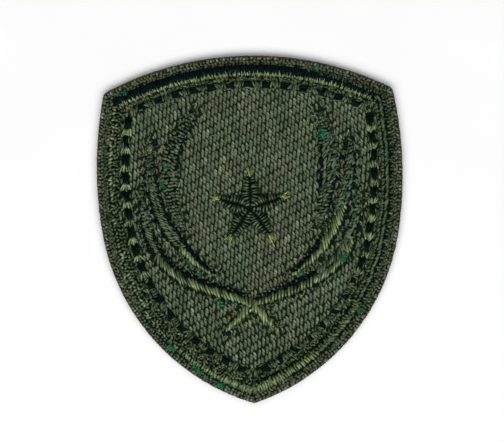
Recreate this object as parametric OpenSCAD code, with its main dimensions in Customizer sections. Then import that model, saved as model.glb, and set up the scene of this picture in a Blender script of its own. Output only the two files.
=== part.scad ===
// Embroidered iron-on patch in the form of a shield, lying face up.
// X runs across the shield, Y runs from the tip to the top edge and Z comes up out of the face.
// The origin is the middle of the patch's outline, on the surface that the patch lies on.
// All sizes are in millimetres.

/* [Shield outline] */
// Width between the two widest points, which set the waist of the shield
patch_w = 45; // [42:0.5:50]
// Radius of the long arcs that form the upper part of both sides
upper_side_r = 56.3; // [52:0.1:62]
// Radius of the arcs that turn the sides in towards the tip
lower_side_r = 31.6; // [29.5:0.1:33]
// Angle below the waist at which the lower arcs take over from the upper ones
lower_side_start = 9.2; // [6:0.1:12]
// Radius of the top edge
top_edge_r = 46.2; // [40:0.1:60]
// Height of the middle of the top edge above the waist
top_above_waist = 17.05; // [16.5:0.05:18]
// Radius that rounds the two upper corners and the tip
corner_r = 0.7; // [0.4:0.05:1]

/* [Layers] */
// Thickness of the heat-seal film on the back
film_t = 0.15; // [0.1:0.01:0.25]
// How far the film stays inside the cut edge of the cloth
film_inset = 0.35; // [0.2:0.05:0.8]
// Thickness of the twill with the stabiliser under it
cloth_t = 1.0; // [1:0.05:1.4]
// Air between two pieces that lie on each other
layer_gap = 0.02; // [0.01:0.005:0.03]

/* [Satin border] */
// Depth of the border's outer edge inside the cut edge
border_inset = 1.35; // [1.2:0.05:1.5]
// Width of the satin border
border_w = 1.75; // [1.5:0.05:1.9]
// Height of the border's crown above the cloth
border_rise = 0.55; // [0.3:0.05:0.8]

/* [Stitched dashes] */
// Depth of the dashes' middle line inside the cut edge
dash_inset = 4.2; // [3.9:0.05:4.3]
// Number of dashes along the top edge
dashes_on_top = 13; // [9:1:13]
// Number of dashes along each side
dashes_on_side = 17; // [10:1:17]
// Length of one dash
dash_len = 2.35; // [1.6:0.05:2.4]
// Width of one dash
dash_w = 1.0; // [0.7:0.05:1.1]
// Height of one dash at its middle
dash_rise = 0.4; // [0.2:0.05:0.5]
// Height of one dash at its ends
dash_end_rise = 0.1; // [0.05:0.01:0.15]
// Cloth left free at both ends of each run of dashes, where two runs meet
dash_corner_room = 0.5; // [0.4:0.05:0.7]

/* [Wreath] */
// Height of a satin blade where it is widest
blade_rise = 0.5; // [0.3:0.05:0.7]
// Height of the hollow under the upper stem where it bridges the lower one
bridge_lift = 0.27; // [0.27:0.01:0.32]
// Share of its height that a stem loses where the stems cross
bridge_press = 0.5; // [0.5:0.05:0.6]

/* [Star] */
// Radius of the star's points
star_r = 5.8; // [4.5:0.1:7]
// Radius of the notches between the points
star_notch_r = 2.5; // [2:0.1:3]
// Height of the star's middle above the middle of the patch
star_y = 3.1; // [2:0.1:4]
// Height of the satin crests
star_rise = 0.5; // [0.3:0.05:0.7]
// Height of the star's rim, and of the grooves that split its arms
star_rim_rise = 0.15; // [0.1:0.01:0.2]

/* [Hidden] */

film_colour = "gainsboro";
cloth_colour = [0.27, 0.31, 0.23];
border_colour = [0.15, 0.21, 0.13];
dash_colour = [0.06, 0.09, 0.08];
blade_colour = [0.22, 0.28, 0.15];
star_colour = [0.17, 0.22, 0.15];

cloth_z = film_t + layer_gap;
stitch_z = cloth_z + cloth_t + layer_gap;

// Smallest radius of an inner corner, so that no loft point meets the next
tight_corner_r = 0.2;
// Steps along each stretch of one half of the outline
top_steps = 10;
corner_steps = 3;
upper_steps = 12;
lower_steps = 14;
// Steps over the crown of a satin band
crown_steps = 8;
// Steps between two rows of a blade's table
blade_steps = 4;

// Centres of the outline's arcs, with the waist at y = 0
side_centre = [patch_w / 2 - upper_side_r, 0];
low_centre = side_centre
    + (upper_side_r - lower_side_r) * [cos(lower_side_start), -sin(lower_side_start)];
top_centre = [0, top_above_waist - top_edge_r];
// Height from the waist to the middle of the outline
waist_shift = (top_above_waist + tip_centre(corner_r, lower_side_r).y - corner_r) / 2;

// Each row of a blade's table is [x, y, width] on its middle line, from the foot to the point.
// The stems cross at this place.
crossing = [0, -10.9];
// Distance from the crossing up to which the bridge keeps its full height, and over which it fades
bridge_flat = 1.35;
bridge_fade = 1.3;

stem_left_route = [
    [3.7, -15.0, 0.6], [1.6, -12.7, 1.3], [-0.8, -10.6, 1.8], [-4.4, -9.2, 2.1],
    [-8.1, -7.9, 2.3], [-11.4, -6.1, 2.3], [-13.9, -3.4, 2.1], [-15.2, -0.3, 1.7],
    [-15.8, 2.8, 1.2], [-15.9, 5.8, 0.5],
];
stem_right_route = [
    [-3.8, -14.6, 0.6], [-1.6, -12.6, 1.2], [0.8, -10.8, 1.7], [4.2, -9.5, 2.1],
    [7.9, -8.0, 2.3], [11.3, -6.1, 2.3], [13.8, -3.5, 2.1], [15.1, -0.4, 1.8],
    [15.8, 2.6, 1.2], [16.0, 5.4, 0.5],
];
outer_leaf_left_route = [
    [-5.3, -6.6, 0.4], [-6.9, -5.7, 1.1], [-8.7, -4.1, 1.7], [-10.7, -1.9, 2.1],
    [-12.5, 0.8, 2.1], [-13.7, 3.6, 1.9], [-14.4, 6.8, 1.8], [-14.6, 9.8, 1.5],
    [-14.6, 12.6, 0.5],
];
outer_leaf_right_route = [
    [5.6, -7.0, 0.4], [6.9, -6.1, 0.9], [8.7, -4.5, 1.6], [10.6, -2.4, 2.1],
    [12.4, 0.4, 2.1], [13.7, 3.5, 2.0], [14.6, 6.8, 1.8], [15.0, 9.9, 1.5],
    [15.0, 12.9, 0.5],
];
inner_leaf_left_route = [
    [-10.0, 0.2, 0.5], [-10.9, 2.6, 1.4], [-11.6, 5.4, 2.1], [-11.8, 8.6, 2.6],
    [-11.1, 11.9, 2.5], [-9.7, 14.8, 1.7], [-8.0, 17.4, 0.5],
];
inner_leaf_right_route = [
    [10.2, 0.5, 0.5], [10.9, 2.9, 1.6], [11.3, 5.5, 2.2], [11.6, 8.4, 2.8],
    [11.6, 11.4, 2.7], [11.2, 14.3, 1.8], [10.7, 16.9, 0.5],
];

function on_circle(centre, r, a) = centre + r * [cos(a), sin(a)];
function bearing(from, to) = atan2(to.y - from.y, to.x - from.x);
function arc_points(centre, r, from, to, steps) =
    [for (i = [0:steps - 1]) on_circle(centre, r, from + (to - from) * i / steps)];

// The point at r1 from c1 and r2 from c2, on the right of the way from c1 to c2
function circles_meet(c1, r1, c2, r2) =
    let (
        apart = norm(c2 - c1),
        way = (c2 - c1) / apart,
        along = (apart ^ 2 + r1 ^ 2 - r2 ^ 2) / (2 * apart),
        aside = sqrt(r1 ^ 2 - along ^ 2)
    )
    c1 + along * way + aside * [way.y, -way.x];

// Centres of the small arcs that round the right corner and the tip
function corner_centre(round_r, top_r, side_r) =
    circles_meet(top_centre, top_r - round_r, side_centre, side_r - round_r);
function tip_centre(round_r, side_r) =
    [0, low_centre.y - sqrt((side_r - round_r) ^ 2 - low_centre.x ^ 2)];
function rounding(inset) = max(corner_r - inset, tight_corner_r);

// Right half of the shield's outline at a depth inside the cut edge, from the top to the tip
function half_path(inset) =
    let (
        round_r = rounding(inset),
        top_r = top_edge_r - inset,
        side_r = upper_side_r - inset,
        low_r = lower_side_r - inset,
        corner = corner_centre(round_r, top_r, side_r),
        tip = tip_centre(round_r, low_r),
        corner_from = bearing(top_centre, corner),
        corner_to = bearing(side_centre, corner),
        tip_from = bearing(low_centre, tip)
    )
    concat(
        arc_points(top_centre, top_r, 90, corner_from, top_steps),
        arc_points(corner, round_r, corner_from, corner_to, corner_steps),
        arc_points(side_centre, side_r, corner_to, -lower_side_start, upper_steps),
        arc_points(low_centre, low_r, -lower_side_start, tip_from, lower_steps),
        arc_points(tip, round_r, tip_from, -90, corner_steps),
        [on_circle(tip, round_r, -90)]
    );

// Whole outline at that depth, about the middle of the patch
function shield_path(inset) =
    let (half = half_path(inset), last = len(half) - 1)
    [
        for (p = half) p - [0, waist_shift],
        for (i = [last - 1:-1:1]) [-half[i].x, half[i].y - waist_shift]
    ];

// Skin over a row of rings with equally many points, closed into a loop or capped at its ends
module loft(rings, closed = false) {
    count = len(rings);
    size = len(rings[0]);
    spans = closed ? count : count - 1;
    skin = [
        for (i = [0:spans - 1])
            for (k = [0:size - 1])
                let (
                    a = i * size + k,
                    b = i * size + (k + 1) % size,
                    c = ((i + 1) % count) * size + (k + 1) % size,
                    d = ((i + 1) % count) * size + k
                )
                each [[a, b, c], [a, c, d]]
    ];
    caps = closed ? [] : [
        [for (k = [size - 1:-1:0]) k],
        [for (k = [0:size - 1]) (count - 1) * size + k]
    ];
    polyhedron([for (ring = rings) each ring], concat(skin, caps));
}

// Smooth curve through the rows of a blade's table
function between(r0, r1, r2, r3, t) =
    (2 * r1 + (r2 - r0) * t + (2 * r0 - 5 * r1 + 4 * r2 - r3) * t ^ 2
        + (3 * r1 - r0 - 3 * r2 + r3) * t ^ 3) / 2;
function smooth_rows(route) =
    let (
        last = len(route) - 1,
        rows = concat([2 * route[0] - route[1]], route, [2 * route[last] - route[last - 1]])
    )
    [
        for (i = [1:last])
            for (k = [0:blade_steps - 1])
                between(rows[i - 1], rows[i], rows[i + 1], rows[i + 2], k / blade_steps),
        route[last]
    ];

// 1 where the stems cross, fading to 0 further away
function near_crossing(place) =
    let (share = (bridge_flat + bridge_fade - norm(place - crossing)) / bridge_fade)
    let (held = min(max(share, 0), 1))
    held ^ 2 * (3 - 2 * held);

// One crowned satin band along a table of rows, which a bridge can lift and press
module satin_blade(route, lift = 0, press = 0) {
    rows = smooth_rows(route);
    last = len(rows) - 1;
    widest = max([for (row = route) row[2]]);
    rings = [
        for (i = [0:last])
            let (
                place = [rows[i].x, rows[i].y],
                ahead = rows[min(i + 1, last)] - rows[max(i - 1, 0)],
                side = [ahead.y, -ahead.x] / norm([ahead.x, ahead.y]),
                bridge = near_crossing(place),
                foot = stitch_z + lift * bridge,
                rise = blade_rise * sqrt(rows[i].z / widest) * (1 - press * bridge)
            )
            [
                for (k = [0:crown_steps])
                    let (a = 180 * k / crown_steps, spot = place + side * rows[i].z / 2 * cos(a))
                    [spot.x, spot.y, foot + rise * sin(a)]
            ]
    ];
    loft(rings);
}

module adhesive_film() {
    color(film_colour)
        linear_extrude(film_t)
            polygon(shield_path(film_inset));
}

module twill_ground() {
    color(cloth_colour)
        translate([0, 0, cloth_z])
            linear_extrude(cloth_t)
                polygon(shield_path(0));
}

module border_ridge() {
    paths = [
        for (k = [0:crown_steps])
            shield_path(border_inset + border_w * (1 - cos(180 * k / crown_steps)) / 2)
    ];
    rings = [
        for (i = [0:len(paths[0]) - 1])
            [
                for (k = [crown_steps:-1:0])
                    let (height = border_rise * sin(180 * k / crown_steps))
                    [paths[k][i].x, paths[k][i].y, stitch_z + height]
            ]
    ];
    color(border_colour)
        loft(rings, closed = true);
}

// Radius of the arc over a chord that stands a given height above it
function bow_r(chord, height) = (chord ^ 2 / 4 + height ^ 2) / (2 * height);

// One dash, arched along X and crowned across it
module dash() {
    arch = dash_rise - dash_end_rise;
    long_r = bow_r(dash_len, arch);
    cross_r = bow_r(dash_w, arch);
    intersection() {
        translate([-dash_len / 2, -dash_w / 2, 0])
            cube([dash_len, dash_w, dash_rise]);
        translate([0, dash_w, dash_rise - long_r])
            rotate([90, 0, 0])
                cylinder(h = 2 * dash_w, r = long_r, $fn = 96);
        translate([-dash_len, 0, dash_rise - cross_r])
            rotate([0, 90, 0])
                cylinder(h = 2 * dash_len, r = cross_r, $fn = 48);
    }
}

// A dash at an angle on one of the outline's arcs
module dash_on_arc(centre, r, a) {
    spot = on_circle(centre, r, a);
    translate([spot.x, spot.y - waist_shift, stitch_z])
        rotate(a - 90)
            dash();
}

module dash_row() {
    top_r = top_edge_r - dash_inset;
    side_r = upper_side_r - dash_inset;
    low_r = lower_side_r - dash_inset;
    corner = circles_meet(top_centre, top_r, side_centre, side_r);
    tip = tip_centre(0, low_r);
    top_len = 2 * top_r * (90 - bearing(top_centre, corner)) * PI / 180;
    side_from = bearing(side_centre, corner);
    side_len = side_r * (side_from + lower_side_start) * PI / 180;
    low_len = low_r * (-lower_side_start - bearing(low_centre, tip)) * PI / 180;
    top_pitch = (top_len - 2 * dash_corner_room) / dashes_on_top;
    side_pitch = (side_len + low_len - 2 * dash_corner_room) / dashes_on_side;
    color(dash_colour) {
        for (i = [0:dashes_on_top - 1]) {
            run = (i - (dashes_on_top - 1) / 2) * top_pitch;
            dash_on_arc(top_centre, top_r, 90 + run / top_r * 180 / PI);
        }
        for (way = [0, 1], i = [0:dashes_on_side - 1]) {
            run = dash_corner_room + (i + 0.5) * side_pitch;
            mirror([way, 0, 0])
                if (run < side_len)
                    dash_on_arc(side_centre, side_r, side_from - run / side_r * 180 / PI);
                else
                    dash_on_arc(low_centre, low_r,
                        -lower_side_start - (run - side_len) / low_r * 180 / PI);
        }
    }
}

module stem_left() {
    color(blade_colour)
        satin_blade(stem_left_route, lift = bridge_lift, press = bridge_press);
}

module stem_right() {
    color(blade_colour)
        satin_blade(stem_right_route, press = bridge_press);
}

module outer_leaf_left() {
    color(blade_colour)
        satin_blade(outer_leaf_left_route);
}

module outer_leaf_right() {
    color(blade_colour)
        satin_blade(outer_leaf_right_route);
}

module inner_leaf_left() {
    color(blade_colour)
        satin_blade(inner_leaf_left_route);
}

module inner_leaf_right() {
    color(blade_colour)
        satin_blade(inner_leaf_right_route);
}

// Five arms, each split by a groove into two halves that rise to a crest of their own
module centre_star() {
    corners = 10;
    rim = [
        for (i = [0:corners - 1])
            on_circle([0, star_y], i % 2 == 0 ? star_r : star_notch_r, 90 + 36 * i)
    ];
    middle = [0, star_y];
    crests = [for (i = [0:corners - 1]) (middle + rim[i] + rim[(i + 1) % corners]) / 3];
    points = concat(
        [for (p = rim) [p.x, p.y, stitch_z]],
        [for (p = rim) [p.x, p.y, stitch_z + star_rim_rise]],
        [for (p = crests) [p.x, p.y, stitch_z + star_rise]],
        [for (z = [0, star_rim_rise]) [middle.x, middle.y, stitch_z + z]]
    );
    lower_hub = 3 * corners;
    upper_hub = lower_hub + 1;
    faces = [
        for (i = [0:corners - 1])
            let (
                j = (i + 1) % corners,
                edge = corners + i,
                next_edge = corners + j,
                crest = 2 * corners + i
            )
            each [
                [i, j, lower_hub],
                [i, edge, next_edge, j],
                [edge, crest, next_edge],
                [edge, upper_hub, crest],
                [next_edge, crest, upper_hub]
            ]
    ];
    color(star_colour)
        polyhedron(points, faces);
}

adhesive_film();
twill_ground();
border_ridge();
dash_row();
stem_left();
stem_right();
outer_leaf_left();
outer_leaf_right();
inner_leaf_left();
inner_leaf_right();
centre_star();
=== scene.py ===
"""Looks of the embroidered iron-on patch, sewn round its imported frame. All sizes are in metres."""

import math

import bpy
from mathutils import Matrix, Vector


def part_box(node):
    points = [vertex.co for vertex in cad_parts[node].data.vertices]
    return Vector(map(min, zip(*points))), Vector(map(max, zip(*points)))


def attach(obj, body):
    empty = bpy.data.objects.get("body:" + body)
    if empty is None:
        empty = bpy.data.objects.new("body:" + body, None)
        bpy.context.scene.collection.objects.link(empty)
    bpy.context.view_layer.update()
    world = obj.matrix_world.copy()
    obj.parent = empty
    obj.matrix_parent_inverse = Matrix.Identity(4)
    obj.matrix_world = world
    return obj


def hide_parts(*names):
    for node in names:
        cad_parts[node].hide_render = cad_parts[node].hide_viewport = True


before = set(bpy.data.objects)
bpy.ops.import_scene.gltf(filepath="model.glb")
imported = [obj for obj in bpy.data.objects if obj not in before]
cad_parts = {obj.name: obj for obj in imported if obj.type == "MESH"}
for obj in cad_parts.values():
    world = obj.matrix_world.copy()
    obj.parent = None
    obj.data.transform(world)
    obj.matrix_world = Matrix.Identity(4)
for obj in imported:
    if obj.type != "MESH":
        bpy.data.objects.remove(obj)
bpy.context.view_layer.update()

MM = 0.001

# Shield outline: the same arcs as the frame's, about the middle of the patch
PATCH_W = 45 * MM
UPPER_SIDE_R = 56.3 * MM
LOWER_SIDE_R = 31.6 * MM
LOWER_SIDE_START = math.radians(9.2)
TOP_EDGE_R = 46.2 * MM
TOP_ABOVE_WAIST = 17.05 * MM
CORNER_R = 0.7 * MM
TIGHT_CORNER_R = 0.2 * MM
OUTLINE_STEP = 0.5 * MM

# Places across the margin, as depths inside the cut edge
BORDER_INSET = 1.35 * MM
DASH_INSET = 4.2 * MM
DASHES_ON_TOP = 13
DASHES_ON_SIDE = 17
DASH_LEN = 2.35 * MM
DASH_W = 1.0 * MM
DASH_CORNER_ROOM = 0.5 * MM
FAN_FOOT = 1.12 * MM
FAN_HALF_W = 0.52 * MM
FAN_REACH = 0.58 * MM
FAN_SPLAY = -0.35
FANS_ABOVE = -7.5 * MM
BUNDLE_HALF_W = DASH_W / 2 - 0.12 * MM
SIDE_SLOPE = 0.55
# Shares of a dash's length: its strands' half length over a fan, plain and in a hole, the same of
# the loose strands beside it, and the room and place of the paler strands at its ends
FAN_SHARE = 0.37
PLAIN_SHARE = 0.33
HOLE_SHARE = 0.22
LOOSE_SHARE = 0.28
DASH_ROOM = 0.62
END_SHARE = 0.30
# The loose strands' way out as a share of the width, and how far rows splay
LOOSE_ASIDE = 0.54
DASH_SPLAY = 0.12
END_SPLAY = 0.2
THREE_ABREAST = (-1, 0, 1)

# Stretches of the outline, clockwise between two bearings from the middle, in degrees
TOP = (136, 46)
TOP_RIGHT = (70, 46)
RIGHT = (46, -36)
LOW_RIGHT = (-36, -90)
LOW_LEFT = (270, 216)
LEFT = (216, 136)
BENEATH_RIGHT = (-62, -90)
BENEATH_LEFT = (270, 238)
ROUND_RIGHT = (-36, -62)
ROUND_LEFT = (238, 216)
TIP = (-79, -101)

# Levels
CLOTH_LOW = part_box("twill_ground")[0].z
CLOTH_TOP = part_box("twill_ground")[1].z
GROUND_TOP = CLOTH_TOP - 0.16 * MM

# Rows of a blade: x, y and width in millimetres on its middle line, from the foot to the point
BLADES = {
    "stem_right": [
        (-3.8, -14.6, 0.6), (-1.6, -12.6, 1.2), (0.8, -10.8, 1.7), (4.2, -9.5, 2.1),
        (7.9, -8.0, 2.3), (11.3, -6.1, 2.3), (13.8, -3.5, 2.1), (15.1, -0.4, 1.8),
        (15.8, 2.6, 1.2), (16.0, 5.4, 0.5),
    ],
    "stem_left": [
        (3.7, -15.0, 0.6), (1.6, -12.7, 1.3), (-0.8, -10.6, 1.8), (-4.4, -9.2, 2.1),
        (-8.1, -7.9, 2.3), (-11.4, -6.1, 2.3), (-13.9, -3.4, 2.1), (-15.2, -0.3, 1.7),
        (-15.8, 2.8, 1.2), (-15.9, 5.8, 0.5),
    ],
    "outer_leaf_left": [
        (-5.3, -6.6, 0.4), (-6.9, -5.7, 1.1), (-8.7, -4.1, 1.7), (-10.7, -1.9, 2.1),
        (-12.5, 0.8, 2.1), (-13.7, 3.6, 1.9), (-14.4, 6.8, 1.8), (-14.6, 9.8, 1.5),
        (-14.6, 12.6, 0.5),
    ],
    "outer_leaf_right": [
        (5.6, -7.0, 0.4), (6.9, -6.1, 0.9), (8.7, -4.5, 1.6), (10.6, -2.4, 2.1),
        (12.4, 0.4, 2.1), (13.7, 3.5, 2.0), (14.6, 6.8, 1.8), (15.0, 9.9, 1.5),
        (15.0, 12.9, 0.5),
    ],
    "inner_leaf_left": [
        (-10.0, 0.2, 0.5), (-10.9, 2.6, 1.4), (-11.6, 5.4, 2.1), (-11.8, 8.6, 2.6),
        (-11.1, 11.9, 2.5), (-9.7, 14.8, 1.7), (-8.0, 17.4, 0.5),
    ],
    "inner_leaf_right": [
        (10.2, 0.5, 0.5), (10.9, 2.9, 1.6), (11.3, 5.5, 2.2), (11.6, 8.4, 2.8),
        (11.6, 11.4, 2.7), (11.2, 14.3, 1.8), (10.7, 16.9, 0.5),
    ],
}
STAR_R = 5.8 * MM
STAR_NOTCH_R = 2.5 * MM
STAR_CENTRE = Vector((0, 3.1 * MM))
STAR_GROOVE = 0.14 * MM
STAR_ARMS = 5
# Ends of an arm's ladders, as the way out and the arm's half width there, and the tuft beyond
ARM_FOOT = (0.6 * MM, 0.45 * MM)
ARM_END = (STAR_R - 0.5 * MM, 0.35 * MM)
TUFT_OUT = STAR_R - 0.40 * MM
TUFT_REACH = 0.6 * MM
TUFT_SPLAY = 0.25

# Camera and light, as on a flatbed: straight down from afar, with one long lamp beyond the tip
VIEW_W = 74.2 * MM
VIEW_DISTANCE = 0.8
VIEW_PLACE = Vector((0.20 * MM, 1.22 * MM, CLOTH_TOP + VIEW_DISTANCE))
VIEW_TURN = math.radians(-1.1)
LAMP_PLACE = Vector((0, -0.68, 0.95))
LAMP_SIZE = (2.4, 0.8)
LAMP_POWER = 22
FILL_PLACE = Vector((0, -0.1, 1.2))
FILL_SIZE = (2.4, 2.4)
FILL_POWER = 26
ROOM_LIGHT = 0.03


class Value:
    """A node's output, which sums like a number."""

    def __init__(self, nodes, socket):
        self.nodes = nodes
        self.socket = socket

    def __add__(self, other):
        return self.nodes.math("ADD", self, other)

    def __sub__(self, other):
        return self.nodes.math("SUBTRACT", self, other)

    def __rsub__(self, other):
        return self.nodes.math("SUBTRACT", other, self)

    def __mul__(self, other):
        return self.nodes.math("MULTIPLY", self, other)

    def __pow__(self, other):
        return self.nodes.math("POWER", self, other)

    def out(self, label):
        """Another output of the same node."""
        return Value(self.nodes, self.socket.node.outputs[label])


class Nodes:
    """A node tree under construction."""

    def __init__(self, tree):
        self.tree = tree

    def add(self, kind, inputs=None, **settings):
        """Adds a node, sets or links its inputs and returns its first output in use."""
        node = self.tree.nodes.new(kind)
        for key, value in settings.items():
            setattr(node, key, value)
        for key, value in (inputs or {}).items():
            named = [s for s in node.inputs if s.enabled and s.name == key]
            socket = node.inputs[key] if isinstance(key, int) else named[0]
            if isinstance(value, Value):
                self.tree.links.new(value.socket, socket)
            else:
                socket.default_value = value
        return Value(self, next(s for s in node.outputs if s.enabled))

    def math(self, operation, *values):
        return self.add("ShaderNodeMath", dict(enumerate(values)), operation=operation)

    def eased(self, value, start, end, low=0.0, high=1.0):
        """Turns smoothly from low to high while the value goes from start to end."""
        return self.add(
            "ShaderNodeMapRange",
            {"Value": value, "From Min": start, "From Max": end, "To Min": low, "To Max": high},
            interpolation_type="SMOOTHSTEP",
        )


class Tree(Nodes):
    """A Geometry Nodes tree, with named inputs for its sizes by kind of socket."""

    def __init__(self, title, **sizes):
        super().__init__(bpy.data.node_groups.new(title, "GeometryNodeTree"))
        face = self.tree.interface
        face.new_socket("Geometry", in_out="OUTPUT", socket_type="NodeSocketGeometry")
        for kind, labels in {"Geometry": "Geometry", **sizes}.items():
            for label in labels.split(", "):
                face.new_socket(label, in_out="INPUT", socket_type="NodeSocket" + kind)
        self.given = self.tree.nodes.new("NodeGroupInput")
        self.made = self.tree.nodes.new("NodeGroupOutput")

    def __getitem__(self, label):
        """The size of that name."""
        return Value(self, self.given.outputs[label])

    def vector(self, x, y, z):
        return self.add("ShaderNodeCombineXYZ", {"X": x, "Y": y, "Z": z})

    def vectors(self, operation, *values):
        return self.add("ShaderNodeVectorMath", dict(enumerate(values)), operation=operation)

    def parts(self, vector):
        split = self.add("ShaderNodeSeparateXYZ", {"Vector": vector})
        return [split.out(axis) for axis in "XYZ"]

    def here(self):
        return self.add("GeometryNodeInputPosition")

    def kept(self, label, kind="FLOAT"):
        return self.add("GeometryNodeInputNamedAttribute", {"Name": label}, data_type=kind)

    def keep(self, geometry, label, value, kind="FLOAT"):
        return self.add(
            "GeometryNodeStoreNamedAttribute",
            {"Geometry": geometry, "Name": label, "Value": value},
            data_type=kind, domain="POINT",
        )

    def chance(self, number, draw, low=-1.0, high=1.0):
        """A value between low and high for each numbered thing, the same in every run."""
        seed = self["Seed"] + float(draw)
        return self.add(
            "FunctionNodeRandomValue",
            {"Min": low, "Max": high, "ID": number, "Seed": seed},
            data_type="FLOAT",
        )

    def stray(self, number, draw, label):
        """A chance as large as a named size, either way."""
        return self.chance(number, draw) * self[label]

    def moved(self, geometry, place):
        return self.add("GeometryNodeSetPosition", {"Geometry": geometry, "Position": place})

    def resampled(self, curve, by, value):
        """The curve with points at an even Length, or with a Count of them."""
        return self.add(
            "GeometryNodeResampleCurve", {"Curve": curve, by: value}, mode=by.upper(),
        )

    def without(self, points, chosen):
        return self.add(
            "GeometryNodeDeleteGeometry", {"Geometry": points, "Selection": chosen},
            domain="POINT",
        )

    def shape(self, label):
        """The geometry of an object among the sizes."""
        return self.add("GeometryNodeObjectInfo", {"Object": self[label]}).out("Geometry")

    def level_under(self, label, x, y):
        """Height of an object's surface at x and y, or zero beside it, and whether it is there."""
        ray = self.add("GeometryNodeRaycast", {
            "Target Geometry": self.shape(label), "Source Position": self.vector(x, y, 1.0),
            "Ray Direction": (0, 0, -1), "Ray Length": 2.0,
        })
        hit = ray.out("Is Hit")
        return self.parts(ray.out("Hit Position"))[2] * hit, hit

    def swept(self, curve, radius, sides):
        """A round thread along a curve, closed at its ends and smooth."""
        ring = self.add(
            "GeometryNodeCurvePrimitiveCircle", {"Resolution": sides, "Radius": 1.0},
            mode="RADIUS",
        )
        threads = self.add(
            "GeometryNodeCurveToMesh",
            {"Curve": curve, "Profile Curve": ring, "Scale": radius, "Fill Caps": True},
        )
        return self.add(
            "GeometryNodeSetShadeSmooth", {"Geometry": threads, "Shade Smooth": True},
            domain="FACE",
        )

    def finish(self, geometry, material):
        """Closes the tree: real instances, then the material."""
        real = self.add("GeometryNodeRealizeInstances", {"Geometry": geometry})
        done = self.add(
            "GeometryNodeSetMaterial", {"Geometry": real, "Material": self[material]},
        )
        self.tree.links.new(done.socket, self.made.inputs[0])
        return self.tree


def stitch_tree():
    """Strands laid across a path and over a form, each with its own length, lean and shade."""
    t = Tree(
        "laid_stitches", Object="Form", Material="Thread", Int="Points, Sides, Seed",
        Float="Ground, Relief, Spacing, Slant, Slant spread, Cross share, Reach spread, "
        "Shift spread, Bend, Arch, Lift, Lift spread, Tilt spread, Dip, Thread radius, "
        "Radius spread, Taper",
    )
    path = t.add("GeometryNodeMeshToCurve", {"Mesh": t["Geometry"]})
    rows = t.resampled(path, "Length", t["Spacing"])
    ahead_x, ahead_y, _ = t.parts(t.add("GeometryNodeInputTangent"))
    rows = t.keep(rows, "heading", t.math("ARCTAN2", ahead_y, ahead_x))
    rows = t.keep(rows, "centre", t.here(), "FLOAT_VECTOR")
    line = t.add("GeometryNodeCurvePrimitiveLine", {"End": (MM, 0, 0)}, mode="POINTS")
    line = t.resampled(line, "Count", t["Points"])
    strands = t.add("GeometryNodeInstanceOnPoints", {"Points": rows, "Instance": line})
    strands = t.add("GeometryNodeRealizeInstances", {"Geometry": strands})

    number = t.add("GeometryNodeCurveOfPoint")
    run = t.add("GeometryNodeSplineParameter") * 2.0 - 1.0
    even = run * run
    bulge = 1.0 - even
    end = even ** 4.0
    reach = t.kept("reach") * (t.stray(number, 1, "Reach spread") + 1.0)
    along = run * reach + t.stray(number, 2, "Shift spread")
    crossed = t.math("LESS_THAN", t.chance(number, 8, 0.0), t["Cross share"])
    slant = t["Slant"] * (crossed * -2.0 + 1.0)
    angle = (
        t.kept("heading") + t.kept("turn") + slant + t.stray(number, 3, "Slant spread")
        + math.pi / 2
    )
    cosine = t.math("COSINE", angle)
    sine = t.math("SINE", angle)
    aside = t.stray(number, 4, "Bend") * bulge
    centre_x, centre_y, _ = t.parts(t.kept("centre", "FLOAT_VECTOR"))
    x = centre_x + cosine * along - sine * aside
    y = centre_y + sine * along + cosine * aside
    height, _ = t.level_under("Form", x, y)
    above = t.math("MAXIMUM", height - t["Ground"], 0.0)
    z = (
        t["Ground"] + above * t["Relief"] + t["Lift"]
        + t.chance(number, 5, 0.0) * t["Lift spread"]
        + t.stray(number, 9, "Tilt spread") * run
        + t["Arch"] * bulge - end * t["Dip"]
    )
    strands = t.moved(strands, t.vector(x, y, z))
    strands = t.keep(strands, "shade", t.chance(number, 6, 0.0))
    # Painted shade: each strand darkens towards its ends, where it dives into the cloth.
    strands = t.keep(strands, "tucked", end)
    thick = t.stray(number, 7, "Radius spread") + 1.0
    radius = t["Thread radius"] * thick * (1.0 - end * t["Taper"])
    return t.finish(t.swept(strands, radius, t["Sides"]), "Thread")


def thread_tree():
    """One thread along each path, which wanders and rests on a form."""
    t = Tree(
        "laid_thread", Object="Form", Material="Thread", Int="Sides, Seed",
        Float="Ground, Spacing, Wander, Lift, Hump, Thread radius, Radius spread",
    )
    path = t.add("GeometryNodeMeshToCurve", {"Mesh": t["Geometry"]})
    path = t.resampled(path, "Length", t["Spacing"])
    point = t.add("GeometryNodeInputIndex")
    here_x, here_y, _ = t.parts(t.here())
    x = here_x + t.stray(point, 1, "Wander")
    y = here_y + t.stray(point, 2, "Wander")
    height, _ = t.level_under("Form", x, y)
    hump = t.math("SINE", t.add("GeometryNodeSplineParameter") * math.pi)
    z = t.math("MAXIMUM", t["Ground"], height) + t["Lift"] + hump * t["Hump"]
    path = t.moved(path, t.vector(x, y, z))
    path = t.keep(path, "shade", t.chance(t.add("GeometryNodeCurveOfPoint"), 3, 0.0))
    radius = t["Thread radius"] * (t.stray(point, 4, "Radius spread") + 1.0)
    return t.finish(t.swept(path, radius, t["Sides"]), "Thread")


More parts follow.
